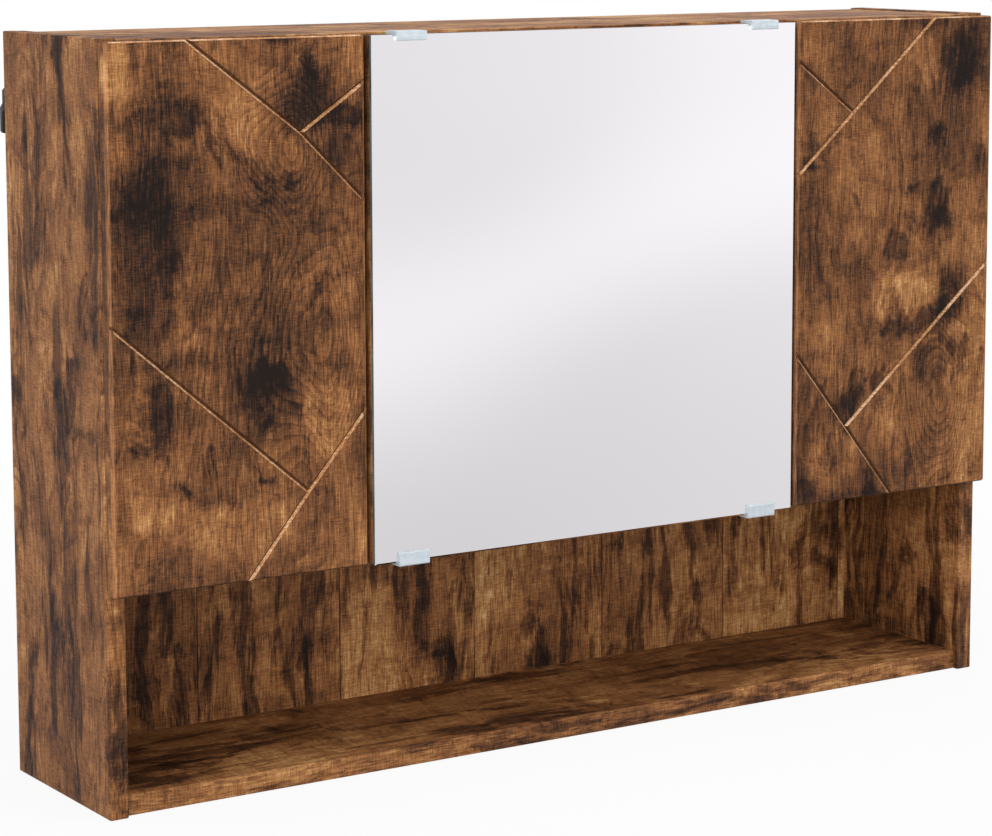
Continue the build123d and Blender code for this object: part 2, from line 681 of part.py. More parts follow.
COMPARTMENTS = {
    "left": (-SIDE_INNER, LEFT_PARTITION - BOARD / 2),
    "middle": (LEFT_PARTITION + BOARD / 2, RIGHT_PARTITION - BOARD / 2),
    "right": (RIGHT_PARTITION + BOARD / 2, SIDE_INNER),
}
for name, (left, right) in COMPARTMENTS.items():
    save(make_shelf(left, right), f"{name}_shelf")
    save(place(shelf_pin, pin_places(left, 1) + pin_places(right, -1)), f"{name}_shelf_pins")


# Doors
def groove_path(points):
    """Cutter for one straight run of a V groove, between two (x, z) points of a door's face."""
    start = Vector(points[0][0], DOOR_FRONT, points[0][1])
    end = Vector(points[1][0], DOOR_FRONT, points[1][1])
    along = (end - start).normalized()
    with BuildPart() as cutter:
        with BuildSketch(Plane(origin=start, x_dir=along.cross(Vector(0, 1, 0)), z_dir=along)):
            with BuildLine():
                Polyline(
                    (-GROOVE_WIDTH, GROOVE_DEPTH), (0, -GROOVE_DEPTH), (GROOVE_WIDTH, GROOVE_DEPTH),
                    close=True)
            make_face()
        extrude(amount=(end - start).length)
    return cutter


def make_door(left, right, lower, upper, hinges, pivot_out, grooves):
    """A door board with rounded upright edges, hinge pockets and V grooves."""
    with BuildPart() as door:
        with BuildSketch(Plane.XY.offset(lower)):
            with Locations(((left + right) / 2, (DOOR_REAR + DOOR_FRONT) / 2)):
                RectangleRounded(right - left, DOOR, DOOR_ROUND)
        extrude(amount=upper - lower)
        chamfer(door.faces().sort_by(Axis.Z)[-1].edges(), length=DOOR_EASE)
        chamfer(door.faces().sort_by(Axis.Z)[0].edges(), length=DOOR_EASE)
        with Locations(*hinges):
            add(make_pocket(pivot_out, POCKET_PLAY).part, mode=Mode.SUBTRACT)
            for end in (-1, 1):
                with Locations(cup_screw_place(end)):
                    add(cup_screw.part, mode=Mode.SUBTRACT)
        for run in grooves:
            add(groove_path(run).part, mode=Mode.SUBTRACT)
    return door


# The grooves are drawn from the door's free edge: how far in from it, and how far above the
# sides' lower ends. Two runs meet a third in each half of the door.
LEFT_GROOVES = {
    "upper": ((0, 515.5), (0, 428.5), (142.5, 548.0), (53.0, 480.5)),
    "lower": ((0, 279.0), (205.0, 353.0), (98.5, 162.0), (49.5, 222.0)),
}
RIGHT_GROOVES = {
    "upper": ((0, 517.5), (0, 426.0), (140.0, 548.0), (56.5, 475.0)),
    "lower": ((0, 286.0), (201.5, 347.5), (100.0, 162.0), (52.0, 222.0)),
}


def groove_runs(groups, free_edge, inward):
    """Straight runs from each outer end, drawn past the door's edge, to the meeting point."""
    runs = []
    for *ends, meeting in groups.values():
        for end in ends:
            reach = ((end[0] - meeting[0]) ** 2 + (end[1] - meeting[1]) ** 2) ** 0.5
            past = 1 + GROOVE_RUNOUT / reach
            outer = tuple(m + past * (e - m) for e, m in zip(end, meeting))
            runs.append([
                (free_edge + inward * point[0], LOWER_END + point[1]) for point in (outer, meeting)
            ])
    return runs


left_door = make_door(
    -SIDE_OUTER, LEFT_DOOR_FREE, DOOR_LOWER, DOOR_UPPER, LEFT_HINGES, PLAIN_PIVOT,
    groove_runs(LEFT_GROOVES, LEFT_DOOR_FREE, -1))
save(left_door, "left_door")
right_door = make_door(
    RIGHT_DOOR_FREE, SIDE_OUTER, DOOR_LOWER, DOOR_UPPER, RIGHT_HINGES, PLAIN_PIVOT,
    groove_runs(RIGHT_GROOVES, RIGHT_DOOR_FREE, 1))
save(right_door, "right_door")

# Mirror clips, one seed for the upper pair and one for the lower pair. Seen from the side,
# a clip is an L: its leg lies on the door's edge and its lip stands in front of the glass.
MIRROR_MIDDLE = (MIRROR_LEFT + MIRROR_RIGHT) / 2
CLIP_SPREAD = MIRROR_DOOR - 2 * CLIP_INSET
CLIP_SCREW_Y = DOOR_FRONT + CLIP_REACH / 2


def make_clips(edge, outward, lip):
    """The two clips on the mirror door's upper (1) or lower (-1) edge."""
    front = GLASS_FRONT - CLIP_LIP
    rear = DOOR_FRONT + CLIP_REACH
    outer = edge + outward * CLIP_WALL
    tip = edge - outward * lip
    with BuildPart() as clips:
        for side in (-1, 1):
            x = MIRROR_MIDDLE + side * CLIP_SPREAD / 2
            with BuildSketch(Plane.YZ.offset(x - CLIP_WIDTH / 2)) as outline:
                with BuildLine():
                    Polyline(
                        (front, outer), (rear, outer), (rear, edge), (GLASS_FRONT, edge),
                        (GLASS_FRONT, tip), (front, tip), close=True)
                make_face()
                chamfer(outline.vertices().group_by(Axis.X)[0], length=CLIP_EASE)
            extrude(amount=CLIP_WIDTH)
        with Locations(*clip_screw_places(edge, outward)):
            add(clip_screw.part, mode=Mode.SUBTRACT)
    return clips


def clip_screw_places(edge, outward):
    """Screws of the two clips on one edge, flush with the clips' outer faces."""
    return [
        facing(
            MIRROR_MIDDLE + side * CLIP_SPREAD / 2, CLIP_SCREW_Y, edge + outward * CLIP_WALL,
            (0, 0, outward), (1, 0, 0))
        for side in (-1, 1)
    ]


all_clip_screws = clip_screw_places(MIRROR_UPPER, 1) + clip_screw_places(MIRROR_LOWER, -1)
with BuildPart() as mirror_door:
    add(make_door(
        MIRROR_LEFT, MIRROR_RIGHT, MIRROR_LOWER, MIRROR_UPPER, MIRROR_HINGES, MIRROR_PIVOT, []).part)
    with Locations(*all_clip_screws):
        add(clip_screw.part, mode=Mode.SUBTRACT)
save(mirror_door, "mirror_door")

with BuildPart() as mirror_glass:
    with BuildSketch(Plane.XZ.offset(-DOOR_FRONT)):
        with Locations((MIRROR_MIDDLE, (MIRROR_LOWER + MIRROR_UPPER) / 2)):
            Rectangle(MIRROR_DOOR, MIRROR_UPPER - MIRROR_LOWER)
    extrude(amount=GLASS)
    chamfer(mirror_glass.faces().sort_by(Axis.Y)[0].edges(), length=GLASS_CHAMFER)
save(mirror_glass, "mirror_glass")

with BuildPart() as mirror_clips:
    add(make_clips(MIRROR_UPPER, 1, UPPER_LIP).part)
    add(make_clips(MIRROR_LOWER, -1, LOWER_LIP).part)
save(mirror_clips, "mirror_clips")
save(place(clip_screw, all_clip_screws), "mirror_clip_screws")


# Hinges, two on each door. Each door's set shares its frames.
def hinge_group(seed, hinges, places=(Location(),)):
    """Repeat a hinge seed in a door's hinge frames, at each place inside a frame."""
    return place(seed, [hinge * spot for hinge in hinges for spot in places])


DOORS = {
    "left": (LEFT_HINGES, PLAIN_PIVOT, BOARD, LEFT_DOOR_FREE, -1, 0),
    "mirror": (MIRROR_HINGES, MIRROR_PIVOT, MIRROR_OVERLAY, MIRROR_LEFT, 1, MIRROR_SAG),
    "right": (RIGHT_HINGES, PLAIN_PIVOT, BOARD, RIGHT_DOOR_FREE, 1, 0),
}
with BuildPart() as bumper:
    with BuildSketch():
        RegularPolygon(BUMPER_R, DISC_SIDES)
    extrude(amount=BUMPER_THICK)

for name, (hinges, pivot_out, overlay, free_edge, inward, sag) in DOORS.items():
    ends = (-1, 1)
    save(hinge_group(make_cup(pivot_out), hinges), f"{name}_hinge_cups")
    save(hinge_group(make_arm(pivot_out, overlay), hinges), f"{name}_hinge_arms")
    save(hinge_group(make_plate(overlay), hinges), f"{name}_hinge_plates")
    save(hinge_group(make_pin(pivot_out), hinges), f"{name}_hinge_pins")
    save(
        hinge_group(cup_screw, hinges, [cup_screw_place(end) for end in ends]),
        f"{name}_hinge_cup_screws")
    save(
        hinge_group(plate_screw, hinges, [plate_screw_place(overlay, end) for end in ends]),
        f"{name}_hinge_plate_screws")
    save(hinge_group(arm_screw, hinges, [arm_screw_place(overlay)]), f"{name}_hinge_arm_screws")
    bumper_x = free_edge + inward * BUMPER_INSET
    save(
        place(bumper, [facing(bumper_x, DOOR_REAR, z, (0, 1, 0)) for z in (TOP_MID, MIDDLE_MID)]),
        f"{name}_door_bumpers")

# Knock-down fittings of the carcass
cams = [
    spot
    for side in (-1, 1)
    for face, up in ((TOP_LOWER, -1), (MIDDLE_UPPER, 1), (LOWER_END, -1))
    for spot in cam_places(side, face, up)
]
levels = (TOP_MID, MIDDLE_MID, FLOOR_MID)
save(place(cam, cams), "cam_housings")
save(
    place(cam_bolt, [spot for side in (-1, 1) for level in levels for spot in bolt_places(side, level)]),
    "cam_bolts")
save(
    place(dowel, [dowel_place(side, level) for side in (-1, 1) for level in levels]
          + partition_dowel_places()),
    "dowels")
save(place(partition_screw, partition_screw_places()), "partition_screws")


# Wall hangers: a tab screwed to the side's rear edge, and below it a hook that stands off,
# with a slot open downwards for the wall screw.
def make_hanger(side):
    """The hanger of one side, -1 left or 1 right."""
    x = side * (SIDE_OUTER - HANGER_WIDTH / 2)
    tab_lower = HANGER_TOP - TAB_HEIGHT
    hook_upper = tab_lower - JOGGLE
    hook_lower = hook_upper - HOOK_HEIGHT
    with BuildPart() as hanger:
        with BuildSketch(Plane.YZ.offset(x - HANGER_WIDTH / 2)):
            with BuildLine():
                Polyline(
                    (REAR, HANGER_TOP), (REAR + HANGER_TAB, HANGER_TOP), (REAR + HANGER_TAB, tab_lower),
                    (0, hook_upper), (0, hook_lower), (-HANGER_HOOK, hook_lower),
                    (-HANGER_HOOK, hook_upper - JOGGLE), (REAR, tab_lower - JOGGLE), close=True)
            make_face()
        extrude(amount=HANGER_WIDTH)
        chamfer(hanger.edges().filter_by(Axis.Y).group_by(Axis.Z)[0], length=HANGER_CORNER)
        chamfer(hanger.edges().filter_by(Axis.Y).group_by(Axis.Z)[-1], length=HANGER_CORNER)
        with BuildSketch(Plane.XZ) as slot:
            with Locations((x, 0)):
                Circle(SLOT_R)
            with Locations((x, hook_lower / 2)):
                Rectangle(2 * SLOT_R, -hook_lower)
        extrude(amount=HANGER_HOOK, mode=Mode.SUBTRACT)
        with Locations(hanger_screw_place(side)):
            add(hanger_screw.part, mode=Mode.SUBTRACT)
    return hanger


save(make_hanger(-1), "left_hanger")
save(make_hanger(1), "right_hanger")
save(place(hanger_screw, [hanger_screw_place(-1), hanger_screw_place(1)]), "hanger_screws")
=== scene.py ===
from math import cos, pi, radians, sin

import bmesh
import bpy
from mathutils import Matrix, Vector


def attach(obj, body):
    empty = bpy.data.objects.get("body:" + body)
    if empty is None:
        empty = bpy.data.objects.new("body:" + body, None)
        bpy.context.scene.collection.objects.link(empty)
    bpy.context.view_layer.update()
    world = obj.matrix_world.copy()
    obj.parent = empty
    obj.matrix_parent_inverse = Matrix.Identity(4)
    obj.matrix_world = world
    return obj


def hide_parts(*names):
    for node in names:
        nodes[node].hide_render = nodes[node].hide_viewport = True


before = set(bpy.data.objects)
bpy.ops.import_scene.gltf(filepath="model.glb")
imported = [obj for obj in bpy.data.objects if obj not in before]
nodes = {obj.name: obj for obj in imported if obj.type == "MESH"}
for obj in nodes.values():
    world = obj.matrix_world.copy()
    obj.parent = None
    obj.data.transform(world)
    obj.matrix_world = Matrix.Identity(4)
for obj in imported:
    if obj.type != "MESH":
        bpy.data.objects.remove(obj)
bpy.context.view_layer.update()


# The two side boards are particleboard with a printed film of smoked, rustic oak. The film
# is pressed on and wrapped round the front edges, and its figure runs upright.
def linear(hexcode):
    """Linear colour from an sRGB hex code."""
    parts = [int(hexcode[i:i + 2], 16) / 255 for i in (1, 3, 5)]
    return [p / 12.92 if p <= 0.04045 else ((p + 0.055) / 1.055) ** 2.4 for p in parts] + [1.0]


def add_node(owner, kind, *values, named=None, stops=(), **settings):
    """Add a shader node with its settings. Values go to its inputs in order or by name, and
    a node given as a value is linked by its first output. Stops are (place, hex code)."""
    node = owner.node_tree.nodes.new("ShaderNode" + kind)
    for key, value in settings.items():
        setattr(node, key, value)
    for key, value in [*enumerate(values), *(named or {}).items()]:
        if isinstance(value, bpy.types.Node):
            value = value.outputs[0]
        if isinstance(value, bpy.types.NodeSocket):
            owner.node_tree.links.new(value, node.inputs[key])
        else:
            node.inputs[key].default_value = value
    if stops:
        elements = node.color_ramp.elements
        while len(elements) < len(stops):
            elements.new(0.5)
        for element, (place, hexcode) in zip(elements, stops):
            element.position = place
            element.color = linear(hexcode)
    return node


def new_material(name):
    """A material with an empty tree, its output node and its object coordinates."""
    material = bpy.data.materials.new(name)
    material.use_nodes = True
    material.node_tree.nodes.clear()
    place = add_node(material, "TexCoord").outputs["Object"]
    return material, add_node(material, "OutputMaterial"), place


def surface(owner, output, **inputs):
    """Give a material its plastic or metal surface, with inputs by their names."""
    named = {key.replace("_", " "): value for key, value in inputs.items()}
    shader = add_node(owner, "BsdfPrincipled", named=named)
    owner.node_tree.links.new(shader.outputs[0], output.inputs["Surface"])


def grain(owner, coordinates, across, along, detail=2.0, rough=0.5, shift=0.0, twist=0.0,
          step=None):
    """Noise with cells of so many millimetres across and along the grain, or where it steps
    softly from nothing to full between two of its values."""
    scale = (1 / across, 1 / across, 1 / along)
    spread = add_node(owner, "VectorMath", coordinates, scale, (shift, shift, shift),
                      operation="MULTIPLY_ADD")
    noise = add_node(owner, "TexNoise", named={
        "Vector": spread, "Scale": 1.0, "Detail": detail, "Roughness": rough,
        "Distortion": twist})
    return add_node(owner, "MapRange", noise, *step, **SOFT) if step else noise


def total(owner, *terms):
    """Sum of (value, weight) terms."""
    result = 0.0
    for value, weight in terms:
        result = add_node(owner, "Math", value, weight, result, operation="MULTIPLY_ADD")
    return result


def product(owner, first, *others):
    """Product of values."""
    for other in others:
        first = add_node(owner, "Math", first, other, operation="MULTIPLY")
    return first


def away_from(owner, coordinates, x, z, half_width, half_height):
    """Distance from a point of the front, in half widths and half heights."""
    apart = add_node(owner, "VectorMath", coordinates, (x, 0, z), operation="SUBTRACT")
    scaled = add_node(owner, "VectorMath", apart, (1 / half_width, 0, 1 / half_height),
                      operation="MULTIPLY")
    return add_node(owner, "VectorMath", scaled, operation="LENGTH").outputs["Value"]


SOFT = {"interpolation_type": "SMOOTHSTEP"}
MILLIMETRES = (1000, 1000, 1000)
SMOKED = [(0.0, "#150d08"), (0.16, "#2f1c12"), (0.34, "#54351f"), (0.5, "#744a2b"),
          (0.66, "#92633b"), (0.82, "#b28452"), (1.0, "#d4ad7c")]
RING_SHADES = [(0.0, "#d0d0d0"), (0.5, "#b8b8b8"), (0.84, "#5e5e5e"), (0.95, "#3c3c3c"),
               (1.0, "#c8c8c8")]
# pale scraped fibre that also carries a painted highlight, for the grooves' upward-facing slopes
SCRAPED_AND_LIT = [(0.3, "#7a4d2a"), (0.48, "#bd8757"), (0.64, "#e8c3a0")]
BARE_FIBRE = [(0.34, "#5d4029"), (0.5, "#7b583a"), (0.68, "#94704c")]


def smoked_oak(name, along="Z", offset=(0, 0, 0), tone=0.0, streaks=0.0, spots=(), knots=(),
               flames=(), door=None, planks=0.0):
    """Printed smoked oak. Spots are (x, z, half width, half height, lighter or darker), knots
    and flame figures are (x, z, half width, half height), in millimetres of the cabinet's own
    frame. A door is given as the x of its two edges and the y of its front."""
    wood, output, place = new_material(name)
    millimetres = add_node(wood, "VectorMath", place, MILLIMETRES, operation="MULTIPLY")
    axes = add_node(wood, "SeparateXYZ", millimetres).outputs
    order = "XYZ" if along == "Z" else "ZYX"
    turned = add_node(wood, "CombineXYZ", *(axes[axis] for axis in order))
    if planks:
        plank = add_node(wood, "Math", axes["X"], planks, operation="DIVIDE")
        number = add_node(wood, "Math", plank, operation="FLOOR")
        plank_tone = add_node(wood, "TexWhiteNoise", named={"W": number}, noise_dimensions="1D")
        jump = add_node(wood, "CombineXYZ", named={
            0: total(wood, (number, 71.0)), 2: total(wood, (plank_tone, 900.0))})
        turned = add_node(wood, "VectorMath", turned, jump)
        along_plank = add_node(wood, "Math", plank, operation="FRACT")
        from_middle = add_node(wood, "Math", along_plank, 0.5, operation="SUBTRACT")
        from_middle = add_node(wood, "Math", from_middle, operation="ABSOLUTE")
        seam = add_node(wood, "MapRange", from_middle, 0.5 - 0.8 / planks, 0.5 - 0.2 / planks,
                        **SOFT)
    moved = add_node(wood, "VectorMath", turned, offset)

    # everything that isn't a straight fibre is drawn in bent coordinates
    half = (0.5, 0.5, 0.5)
    drift = grain(wood, moved, 80, 190, 3.0, 0.55, 3.1).outputs["Color"]
    swing = add_node(wood, "VectorMath", drift, half, operation="SUBTRACT")
    bent = add_node(wood, "VectorMath", swing, (40, 40, 60), moved, operation="MULTIPLY_ADD")
    fray = grain(wood, moved, 9, 15, 3.0, 0.6, 8.0).outputs["Color"]
    fray = add_node(wood, "VectorMath", fray, half, operation="SUBTRACT")
    wavy = add_node(wood, "VectorMath", swing, (30, 0, 34), millimetres,
                    operation="MULTIPLY_ADD")
    frayed = add_node(wood, "VectorMath", fray, (26, 0, 34), wavy, operation="MULTIPLY_ADD")

    # stains and paler patches with frayed edges, then knots, then flame figures
    shade = 0.0
    for x, z, half_width, half_height, strength in spots:
        distance = away_from(wood, frayed, x, z, half_width, half_height)
        inside = add_node(wood, "MapRange", distance, 1.25, 0.55, **SOFT)
        shade = total(wood, (inside, strength), (shade, 1.0))
    core = 0.0
    for x, z, half_width, half_height in knots:
        distance = away_from(wood, frayed, x, z, half_width, half_height)
        heart = add_node(wood, "MapRange", distance, 1.3, 0.6, **SOFT)
        halo = add_node(wood, "MapRange", distance, 2.4, 1.0, **SOFT)
        core = total(wood, (heart, 0.7), (halo, 0.3), (core, 1.0))
    field = grain(wood, bent, 60, 330, 1.2, 0.45, 11.0)
    ringed = grain(wood, bent, 75, 150, 1.0, 0.5, 33.0, step=(0.44, 0.58, 0.15, 1.0))
    for x, z, half_width, half_height in flames:
        distance = away_from(wood, wavy, x, z, half_width, half_height)
        hill = add_node(wood, "MapRange", distance, 1.15, 0.0, **SOFT)
        field = total(wood, (hill, 0.55), (field, 1.0))
        inside = add_node(wood, "MapRange", distance, 1.1, 0.75, **SOFT)
        ringed = add_node(wood, "Math", ringed, inside, operation="MAXIMUM")

    # growth rings are contour lines of a slow field that is stretched along the grain
    rings = add_node(wood, "Math", total(wood, (field, 19.0)), operation="FRACT")
    rings = add_node(wood, "ValToRGB", rings, stops=RING_SHADES)
    rings = product(wood, add_node(wood, "Math", rings, 0.42, operation="SUBTRACT"), ringed)

    # clouds of tone and smoke, and long and level stains
    broad = grain(wood, bent, 120, 280, 1.0, 0.5, 19.0)
    cloud = grain(wood, bent, 40, 70, 4.0, 0.62, 23.0, 0.4, step=(0.36, 0.64))
    smoke = grain(wood, bent, 46, 84, 5.0, 0.66, 27.0, 0.7, step=(0.55, 0.66))
    long_stain = grain(wood, bent, 20, 150, 5.0, 0.64, 31.0, step=(0.51, 0.62))
    smear = grain(wood, bent, 62, 13, 4.0, 0.6, 37.0, step=(0.48, 0.68))
    gold = grain(wood, bent, 20, 42, 4.0, 0.62, 41.0, step=(0.53, 0.72))

    # fine cracks, fibres, combed lines, open pores, cross saw marks and specks
    fissure = add_node(wood, "Math", grain(wood, bent, 9, 75, 3.0, 0.55, 47.0), 0.43,
                       operation="SUBTRACT")
    fissure = add_node(wood, "Math", fissure, operation="ABSOLUTE")
    fissure = add_node(wood, "MapRange", fissure, 0.013, 0.002, **SOFT)
    fibres = grain(wood, moved, 0.95, 19, 3.0, 0.65)
    combed = grain(wood, bent, 1.9, 130, 2.0, 0.6, 5.0)
    comb = add_node(wood, "MapRange", combed, 0.54, 0.66, **SOFT)
    pores = grain(wood, moved, 0.7, 8, 1.0, step=(0.60, 0.72))
    saw = grain(wood, moved, 8, 1.0, 3.0, 0.65, 7.0)
    speck = grain(wood, moved, 1.6, 2.4, 2.0, 0.6, 13.0, step=(0.62, 0.74))

    value = total(
        wood, (broad, 0.55), (cloud, 0.18), (smoke, -0.24), (gold, 0.14), (rings, 0.24),
        (fibres, 0.70), (combed, 0.34), (comb, -0.10), (pores, -0.15), (saw, 0.56),
        (speck, -0.14), (fissure, -0.15), (smear, -0.10), (long_stain, -streaks),
        (shade, 1.0), (core, -0.30), (1.0, tone - 0.60))
    if planks:
        value = total(wood, (value, 1.0), (plank_tone, 0.22), (seam, -0.28), (1.0, -0.10))
    colour = add_node(wood, "ValToRGB", value, stops=SMOKED)
    stain = total(wood, (smoke, 0.22), (long_stain, streaks * 0.9), (core, 0.35))
    stain = add_node(wood, "Math", stain, 0.6, operation="MINIMUM")
    colour = add_node(wood, "MixRGB", stain, colour, linear("#22150f"))

    if planks:
        # the rear of the hardboard has no print: it is bare brown fibre, finely mottled
        normal = add_node(wood, "TexCoord").outputs["Normal"]
        rearward = add_node(wood, "SeparateXYZ", normal).outputs["Y"]
        rearward = add_node(wood, "MapRange", rearward, 0.3, 0.6, **SOFT)
        mottle = grain(wood, millimetres, 1.7, 1.7, 3.0, 0.6, 3.0)
        bare = add_node(wood, "ValToRGB", mottle, stops=BARE_FIBRE)
        colour = add_node(wood, "MixRGB", rearward, colour, bare)
        printed = add_node(wood, "Math", 1.0, rearward, operation="SUBTRACT")
        seam = product(wood, seam, printed)

    if door:
        left, right, front = door
        half_door = (right - left) / 2
        from_middle = add_node(wood, "Math", axes["X"], (left + right) / 2,
                               operation="SUBTRACT")
        from_middle = add_node(wood, "Math", from_middle, operation="ABSOLUTE")
        depth = add_node(wood, "Math", axes["Y"], front, operation="SUBTRACT")
        # the film is thin and rubbed pale where it is bent over the rounded upright edges, and
        # the pale strip is also a painted highlight on the rounding
        at_edge = add_node(wood, "MapRange", from_middle, half_door - 3.0, half_door - 1.6,
                           **SOFT)
        near_front = add_node(wood, "MapRange", depth, 3.4, 1.8, **SOFT)
        worn_and_highlit = product(wood, at_edge, near_front, total(wood, (fibres, 1.1), (1.0, -0.30)))
        colour = add_node(wood, "MixRGB", worn_and_highlit, colour, linear("#c4895c"))
        # the V grooves: their upper slopes, which face down, get painted shade, and their lower
        # slopes, which face up, are scraped pale with a painted highlight
        within = add_node(wood, "MapRange", from_middle, half_door - 3.1, half_door - 3.6,
                          **SOFT)
        below_face = add_node(wood, "MapRange", depth, 0.15, 0.5, **SOFT)
        above_bottom = add_node(wood, "MapRange", depth, 2.6, 2.2, **SOFT)
        sunk = product(wood, below_face, within, above_bottom)
        slope = add_node(wood, "NewGeometry").outputs["True Normal"]
        slope = add_node(wood, "SeparateXYZ", slope).outputs["Z"]
        # this mask picks the upward-facing slopes for the painted highlight; the downward-facing
        # ones get painted shade
        lower = add_node(wood, "MapRange", slope, -0.15, 0.25, **SOFT)
        scraped_and_lit = total(wood, (fibres, 0.6), (saw, 0.6), (cloud, 0.12), (1.0, -0.16))
        scraped_and_lit = add_node(wood, "ValToRGB", scraped_and_lit, stops=SCRAPED_AND_LIT)
        # a dark brown that is painted shade on the downward-facing groove slopes
        shaded_slope = add_node(wood, "ValToRGB", fibres, stops=[(0.35, "#24160d"), (0.65, "#4b2f1c")])
        lit_and_shaded_slopes = add_node(wood, "MixRGB", lower, shaded_slope, scraped_and_lit)
        colour = add_node(wood, "MixRGB", product(wood, sunk, 0.82), colour, lit_and_shaded_slopes)

    height = total(wood, (fibres, 0.5), (pores, -0.8), (comb, -0.4), (saw, 0.25), (core, -0.6),
                   (fissure, -0.8))
    if planks:
        height = total(wood, (height, 1.0), (seam, -1.5))
    surface(wood, output, Base_Color=colour,
            Roughness=total(wood, (fibres, 0.22), (pores, 0.10), (smoke, 0.05), (1.0, 0.42)),
            Normal=add_node(wood, "Bump", named={
                "Height": height, "Distance": 0.00025, "Strength": 0.6}),
            Specular_IOR_Level=0.13)
    return wood


def finish(material, *names):
    """Give CAD nodes a material."""
    for name in names:
        nodes[name].data.materials.clear()
        nodes[name].data.materials.append(material)


finish(smoked_oak("smoked_oak_left_side", "Z", (0, 40, 0), 0.05, 0.24), "left_side")
finish(smoked_oak("smoked_oak_right_side", "Z", (500, 210, 130), 0.05, 0.24), "right_side")


# The top, middle and bottom boards and the loose shelves are the same filmed board, with the
# figure running from side to side. The fixed ones are held between the sides by fittings.
finish(smoked_oak("smoked_oak_top", "X", (90, 30, 240), 0.15, 0.14), "top_panel")
finish(smoked_oak("smoked_oak_middle", "X", (350, 80, 0), 0.04, 0.12), "middle_panel")
finish(smoked_oak("smoked_oak_floor", "X", (620, 0, 310), 0.08, 0.24), "bottom_panel")
finish(smoked_oak("smoked_oak_shelves", "X", (170, 130, 90), 0.05, 0.12),
       "left_shelf", "middle_shelf", "right_shelf")


# The partitions are the same board again. They stand upright between the middle and top
# boards, and long screws hold them from below.
finish(smoked_oak("smoked_oak_partitions", "Z", (40, 300, 410), 0.05, 0.12),
       "left_partition", "right_partition")


# The back panel is thin hardboard whose printed front looks like upright planks. It is
# nailed on from behind with small flat-headed steel nails.
PLANK_WIDTH = 126.0
finish(smoked_oak("printed_planks", "Z", (300, 70, 60), 0.13, 0.28, planks=PLANK_WIDTH),
       "back_panel")


def solids(name):
    """The separate solids of one CAD node, each as a list of its corner points."""
    mesh = nodes[name].data
    keys = [tuple(round(c, 6) for c in v.co) for v in mesh.vertices]
    group = {key: key for key in keys}

    def leader(key):
        while group[key] != key:
            group[key] = group[group[key]]
            key = group[key]
        return key

    for face in mesh.polygons:
        first = leader(keys[face.vertices[0]])
        for index in face.vertices[1:]:
            group[leader(keys[index])] = first
    found = {}
    for key in group:
        found.setdefault(leader(key), []).append(Vector(key))
    return list(found.values())


def add_piece(name, mesh, body, material, replaced):
    """Turn a bmesh into a smooth-shaded piece that stands for a CAD node."""
    data = bpy.data.meshes.new(name)
    bmesh.ops.recalc_face_normals(mesh, faces=mesh.faces)
    mesh.to_mesh(data)
    mesh.free()
    data.materials.append(material)
    data.shade_smooth()
    data.set_sharp_from_angle(angle=radians(32))
    piece = bpy.data.objects.new(name, data)
    bpy.context.scene.collection.objects.link(piece)
    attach(piece, body)
    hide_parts(replaced)


def head_frame(corners):
    """Where a fastener's head is, the turn of its axes, its length and its middle."""
    low = Vector([min(c[i] for c in corners) for i in range(3)])
    high = Vector([max(c[i] for c in corners) for i in range(3)])
    size = high - low
    long = max(range(3), key=lambda i: size[i])
    middle = (low + high) / 2

    def radius_at(end):
        ring = [c - middle for c in corners if abs(c[long] - end) < 1e-5]
        return max(Vector([0 if i == long else c[i] for i in range(3)]).length for c in ring)

    sign = 1 if radius_at(high[long]) >= radius_at(low[long]) else -1
    head = middle.copy()
    head[long] = high[long] if sign > 0 else low[long]
    axis = Vector([sign if i == long else 0 for i in range(3)])
    side = Vector((1, 0, 0)) if long == 2 else Vector((0, 0, 1))
    turn = Matrix((side, axis.cross(side), axis)).transposed()
    return head, turn, size[long], middle


RING = 20


def turned_fasteners(replaced, outline, body, material, recess=0.0, flat=None):
    """Round fasteners for every solid of a CAD node. The outline is (radius, depth below the
    head's outer face) in millimetres, and its depths are stretched to each solid's length.
    A recess is the half length of a cross slot, and a flat cuts the upper side level."""
    mesh = bmesh.new()
    for corners in solids(replaced):
        head, turn, length, middle = head_frame(corners)
        stretch = length * 1000 / outline[-1][1]

        def point(x, y, depth):
            return mesh.verts.new(head + turn @ Vector((x, y, -depth)) / 1000)

        rings = [[point(radius * cos(k * pi / 10), radius * sin(k * pi / 10), depth * stretch)
                  for k in range(RING)] for radius, depth in outline]
        for upper, lower in zip(rings, rings[1:]):
            for k in range(RING):
                mesh.faces.new((upper[k], upper[k - 1], lower[k - 1], lower[k]))
        mesh.faces.new(rings[-1])
        if recess:
            half = recess * 0.24
            cross = [(recess, half), (half, half), (half, recess), (-half, recess),
                     (-half, half), (-recess, half), (-recess, -half), (-half, -half),
                     (-half, -recess), (half, -recess), (half, -half), (recess, -half)]
            top = [point(x, y, 0) for x, y in cross]
            bottom = [point(x * 0.7, y * 0.7, recess * 0.6) for x, y in cross]
            edges = [mesh.edges.new((top[k - 1], top[k])) for k in range(12)]
            edges += [mesh.edges.get((rings[0][k - 1], rings[0][k])) for k in range(RING)]
            bmesh.ops.triangle_fill(mesh, use_beauty=True, edges=edges)
            for k in range(12):
                mesh.faces.new((top[k], top[k - 1], bottom[k - 1], bottom[k]))
            mesh.faces.new(bottom)
        else:
            mesh.faces.new(rings[0])
        if flat:
            for vert in [v for ring in rings for v in ring]:
                vert.co.z = min(vert.co.z, middle.z + flat / 1000)
    add_piece(f"{replaced}_turned", mesh, body, material, replaced)


